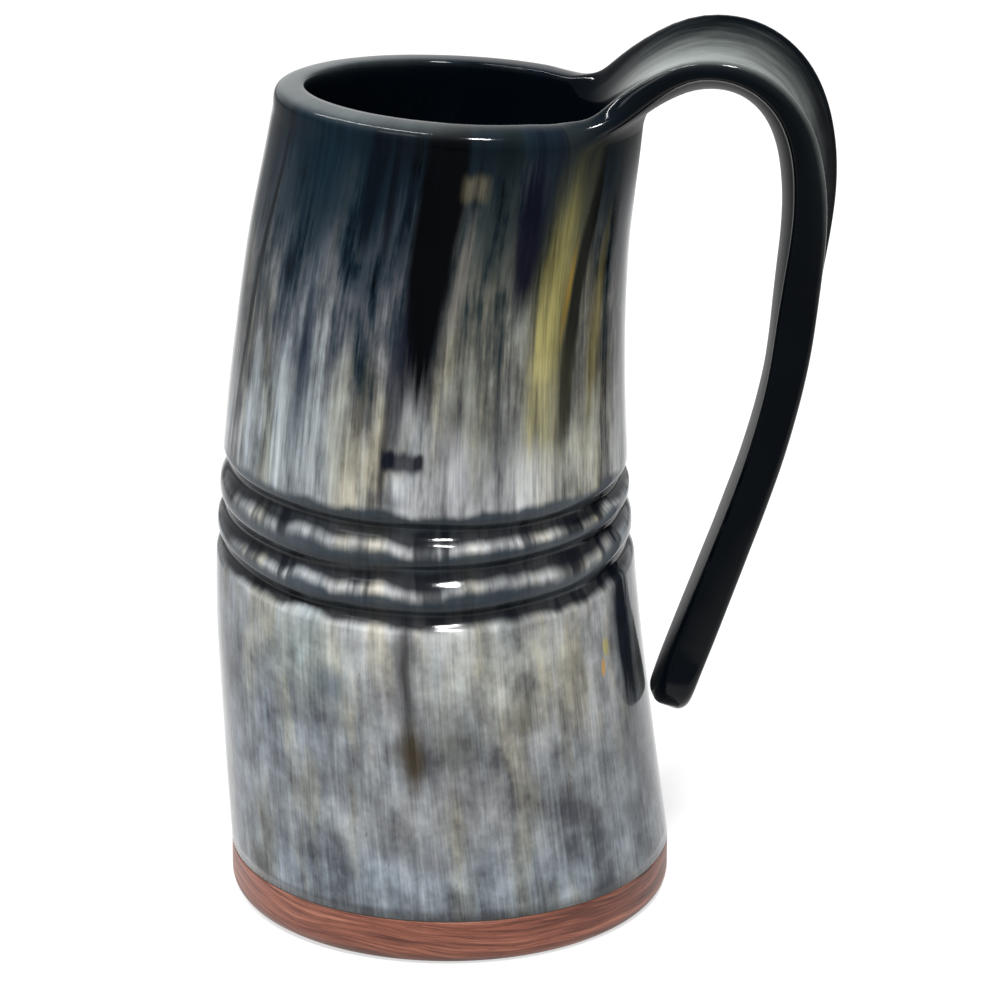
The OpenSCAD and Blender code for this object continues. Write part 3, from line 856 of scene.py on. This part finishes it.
    # The fingers' side of the handle and its root are less polished
    dull = s.times(s.step(v, 132.0, 158.0), s.near(off_middle, 0.0, 46.0, 34.0))
    dull = s.times(dull, s.step(inside, 0.08, 0.0))
    roughness = s.add(0.09, s.times(clouds, 0.05), s.times(fine, 0.04), s.times(dull, 0.36))
    s.put(s.bsdf.inputs["Roughness"], roughness)
    s.bsdf.inputs["IOR"].default_value = 1.54
    s.bsdf.inputs["Specular IOR Level"].default_value = 0.12
    ripple = texture(1.6, 2.4, 2, 0.5)
    relief = s.add(s.times(fine, 0.25), s.times(hairs, 0.1), s.times(ripple, 0.5))
    bump = s.node("ShaderNodeBump", {"Height": relief, "Distance": 0.00003, "Strength": 0.6})
    s.put(s.bsdf.inputs["Normal"], bump.outputs[0])
    return s.owner


def wood_material():
    """Reddish hardwood, turned and oiled, with dark pores."""
    s = Shader(bpy.data.materials.new("turned_wood"))
    place = s.node("ShaderNodeTexCoord").outputs["Object"]
    mm = s.node("ShaderNodeVectorMath", {0: place, "Scale": 1 / MM}, operation="SCALE").outputs[0]
    x, y, z = s.parts(mm)
    sway = s.noise(mm, (1 / 40, 1 / 40, 1 / 12), 2, 0.5)
    # The board's year rings run nearly level, as on a flat-sawn disc
    rings_at = s.add(z, s.times(x, 0.05), s.times(y, -0.03), s.times(sway, 7.0))
    bent = s.vector(s.times(x, 1 / 40), s.times(y, 1 / 40), s.times(rings_at, 1 / 1.1))
    bands = s.add(s.noise(bent, (1, 1, 1), 4.0, 0.6), 0.5)
    fibres = s.noise(s.vector(x, y, rings_at), (1 / 9, 1 / 9, 1 / 0.35), 3, 0.65)
    pores = s.step(s.noise(s.vector(x, y, rings_at), (1 / 3.2, 1 / 3.2, 1 / 0.28), 2, 0.5), 0.1, 0.24)
    colour = s.ramp(s.add(bands, s.times(fibres, 0.42)), WOOD_TONES)
    colour = s.blend(s.times(pores, 0.75), colour, WOOD_PORE)
    s.put(s.bsdf.inputs["Base Color"], colour)
    s.put(s.bsdf.inputs["Roughness"], s.add(0.42, s.times(fibres, 0.12)))
    s.bsdf.inputs["Specular IOR Level"].default_value = 0.3
    height = s.add(s.times(fibres, 0.6), s.times(pores, -0.8))
    bump = s.node("ShaderNodeBump", {"Height": height, "Distance": 0.00006, "Strength": 0.5})
    s.put(s.bsdf.inputs["Normal"], bump.outputs[0])
    return s.owner


def glue_material():
    """Cured glue, brown and dull."""
    s = Shader(bpy.data.materials.new("cured_glue"))
    place = s.node("ShaderNodeTexCoord").outputs["Object"]
    drops = s.noise(place, (900.0, 900.0, 900.0), 2, 0.5)
    s.put(s.bsdf.inputs["Base Color"], s.ramp(s.add(drops, 0.5), GLUE_TONES))
    s.put(s.bsdf.inputs["Roughness"], s.add(0.45, s.times(drops, 0.3)))
    return s.owner


def resin_material():
    """Clear resin with a tint of amber."""
    s = Shader(bpy.data.materials.new("sealing_resin"))
    place = s.node("ShaderNodeTexCoord").outputs["Object"]
    drift = s.noise(place, (60.0, 60.0, 60.0), 3, 0.5)
    s.put(s.bsdf.inputs["Base Color"], s.ramp(s.add(drift, 0.5), RESIN_TONES))
    s.bsdf.inputs["Roughness"].default_value = 0.06
    s.bsdf.inputs["Transmission Weight"].default_value = 0.85
    s.bsdf.inputs["IOR"].default_value = 1.5
    bump = s.node("ShaderNodeBump", {"Height": drift, "Distance": 0.0002, "Strength": 0.4})
    s.put(s.bsdf.inputs["Normal"], bump.outputs[0])
    return s.owner


def arc(cx, cz, r, start, stop, n):
    """Points of an arc in a lathe's profile, from start to stop degrees."""
    angles = np.radians(np.linspace(start, stop, n))
    return [(cx + r * math.cos(a), cz + r * math.sin(a)) for a in angles]


def lathe(name, profile, sides=LATHE_SIDES):
    """Turns a closed profile in (radius, height) round Z. A profile point on the axis becomes one point."""
    points, ids = [], []
    for r, z in profile:
        if r < 1e-6:
            ids.append([len(points)] * sides)
            points.append((0, 0, z))
        else:
            ids.append(list(range(len(points), len(points) + sides)))
            angles = [TURN * j / sides for j in range(sides)]
            points.extend((r * math.cos(a), r * math.sin(a), z) for a in angles)
    faces = []
    for a, b in zip(ids, ids[1:] + ids[:1]):
        for j in range(sides):
            jj = (j + 1) % sides
            corners = list(dict.fromkeys((a[j], a[jj], b[jj], b[j])))
            if len(corners) > 2:
                faces.append(corners)
    return make_mesh(name, points, faces)


def sharpen(piece, degrees=40):
    """Keeps crisp corners of a turned piece crisp under smooth shading."""
    piece.data.set_sharp_from_angle(angle=math.radians(degrees))


def make_horn():
    """The horn in one piece, with its rings, its handle and its lip."""
    points, quads, grain, within = build_horn()
    corner = math.radians(ROOT_DEG)
    spots = [outer_row(TOP_Z, np.array([a]))[0] + (0, 0, LIP_H / 2) for a in (-corner, corner)]
    points = rub_down(points, quads, spots, RUB_REACH, RUB_TIMES)
    piece = make_mesh("polished_horn", hand_polish(points, quads), quads, grain=grain, inside=within)
    piece.data.materials.append(horn_material())
    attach(piece, "root")
    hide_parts("horn")


def make_base():
    """The turned base and its plug."""
    r = WOOD_SHOULDER_R
    profile = [(0, 0), (FOOT_R - WOOD_R, 0)]
    profile += arc(FOOT_R - WOOD_R, WOOD_R, WOOD_R, -80, 0, 12)
    profile += arc(FOOT_R - r, WOOD_H - r, r, 0, 90, 5)
    profile += [(PLUG_R, WOOD_H), (PLUG_R, WOOD_H + PLUG_H), (0, WOOD_H + PLUG_H)]
    piece = lathe("turned_base", profile)
    sharpen(piece)
    piece.data.materials.append(wood_material())
    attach(piece, "root")
    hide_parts("wood_base")


def make_glue():
    """The film of glue under the horn's end and round the plug."""
    inner, outer = PLUG_R + FIT, FOOT_R - GLUE_BACK
    profile = [(inner, WOOD_H), (outer, WOOD_H), (outer, HORN_Z), (inner + GLUE_T, HORN_Z)]
    profile += [(inner + GLUE_T, WOOD_H + PLUG_H), (inner, WOOD_H + PLUG_H)]
    piece = lathe("glue_film", profile)
    sharpen(piece)
    piece.data.materials.append(glue_material())
    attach(piece, "root")
    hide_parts("joint_glue")


def make_seal():
    """The resin over the plug, which climbs the wall a little."""
    r = BORE_R - FIT
    profile = [(0, SEAL_Z), (r, SEAL_Z), (r, ROUND_Z)]
    profile += arc(r - SEAL_CLIMB, ROUND_Z, SEAL_CLIMB, 0, -90, 12)[1:]
    profile += [(0, SEAL_Z + SEAL_T)]
    piece = lathe("resin_seal", profile)
    sharpen(piece)
    piece.data.materials.append(resin_material())
    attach(piece, "root")
    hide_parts("seal_layer")


def place_camera():
    """The photograph's view: a long lens, about five degrees to the right of the front, looking down."""
    camera = bpy.data.cameras.new("camera")
    camera.sensor_width = SENSOR_W
    camera.lens = LENS
    camera.clip_start = 0.05
    camera.clip_end = 20
    made = bpy.data.objects.new("camera", camera)
    made.location = Vector(CAMERA_AT) * MM
    target = Vector(CAMERA_TO) * MM
    made.rotation_euler = (target - made.location).to_track_quat("-Z", "Y").to_euler()
    bpy.context.scene.collection.objects.link(made)
    bpy.context.scene.camera = made


def area_light(name, place, size, power, along=(1, 0, 0)):
    """A soft light aimed at the cup, with its first side as near as it can be to the way given."""
    light = bpy.data.lights.new(name, "AREA")
    light.shape = "RECTANGLE"
    light.size, light.size_y = size
    light.energy = power
    made = bpy.data.objects.new(name, light)
    back = (Vector(place) - Vector(LAMP_AIM)).normalized()
    side = Vector(along).cross(back).normalized()
    turned = Matrix((back.cross(side), -side, back)).transposed()
    made.matrix_world = Matrix.Translation(place) @ turned.to_4x4()
    bpy.context.scene.collection.objects.link(made)


def along_way(s, place, way):
    """How far a place lies along a way."""
    return s.node("ShaderNodeVectorMath", {0: place, 1: way}, operation="DOT_PRODUCT").outputs["Value"]


def shown(s):
    """1 for what the camera sees, directly or in a polished or clear face."""
    path = s.node("ShaderNodeLightPath").outputs
    rays = s.add(path["Is Camera Ray"], path["Is Glossy Ray"], path["Is Transmission Ray"])
    return s.math("MINIMUM", rays, 1.0)


def floor_material():
    """White paper under and behind the cup that falls off to grey towards the camera and to the sides."""
    s = Shader(bpy.data.materials.new("floor_paper"))
    place = s.node("ShaderNodeTexCoord").outputs["Object"]
    nearer = along_way(s, place, VIEW_WAY)
    aside = s.absolute(s.add(along_way(s, place, SIDE_WAY), -FRAME_MIDDLE))
    aside = s.add(aside, s.times(nearer, FRAME_TAPER))
    side_dark = s.times(s.step(aside, *SIDE_FALL), SIDE_FALL_SHARE)
    dark = s.math("MAXIMUM", s.step(nearer, *NEAR_FALL), side_dark)
    paper = s.grey(s.add(1.0, s.times(dark, FLOOR_LEVEL - 1)))
    s.put(s.bsdf.inputs["Base Color"], s.blend(1.0, (PAPER, PAPER, PAPER), paper, "MULTIPLY"))
    s.bsdf.inputs["Roughness"].default_value = 0.9
    s.bsdf.inputs["Specular IOR Level"].default_value = 0.0
    s.put(s.bsdf.inputs["Emission Color"], paper)
    s.put(s.bsdf.inputs["Emission Strength"], s.times(shown(s), FLOOR_GLOW))
    return s.owner


def make_stage():
    """The floor is open under the foot, so that a view from below shows the foot."""
    n = FLOOR_SIDES
    angles = [TURN * j / n for j in range(n)]
    points = [(r * math.cos(a), r * math.sin(a), 0) for r in FLOOR_REACHES for a in angles]
    pairs = [(i * n + j, i * n + (j + 1) % n) for i in range(len(FLOOR_REACHES) - 1) for j in range(n)]
    floor = make_mesh("floor", points, [(a, a + n, b + n, b) for a, b in pairs])
    floor.data.materials.append(floor_material())


def light_scene():
    """A room that is white behind the cup and dark on the camera's side, with three lamps."""
    world = bpy.data.worlds.new("studio")
    bpy.context.scene.world = world
    s = Shader(world)
    direction = s.node("ShaderNodeTexCoord").outputs["Generated"]
    unit = s.node("ShaderNodeVectorMath", {0: direction}, operation="NORMALIZE").outputs[0]
    front = s.step(along_way(s, unit, VIEW_WAY), -0.9, -0.1)
    background = s.tree.nodes["Background"]
    s.put(background.inputs["Color"], s.grey(s.add(1.0, s.times(front, FRONT_LEVEL - 1))))
    s.put(background.inputs["Strength"], s.add(ROOM_LEVEL, s.times(shown(s), 1 - ROOM_LEVEL)))
    area_light("key", (0.27, -0.73, 1.15), (0.18, 0.12), 21)
    area_light("window", (-0.62, -1.0, 1.1), (0.5, 0.25), 1.6)
    area_light("strip", (-0.66, -0.17, 1.2), (1.25, 0.04), 19, (-0.88, 0.47, 0))
    bpy.context.scene.view_settings.view_transform = "Standard"


place_camera()
make_horn()
make_base()
make_glue()
make_seal()
make_stage()
light_scene()

bpy.context.view_layer.update()
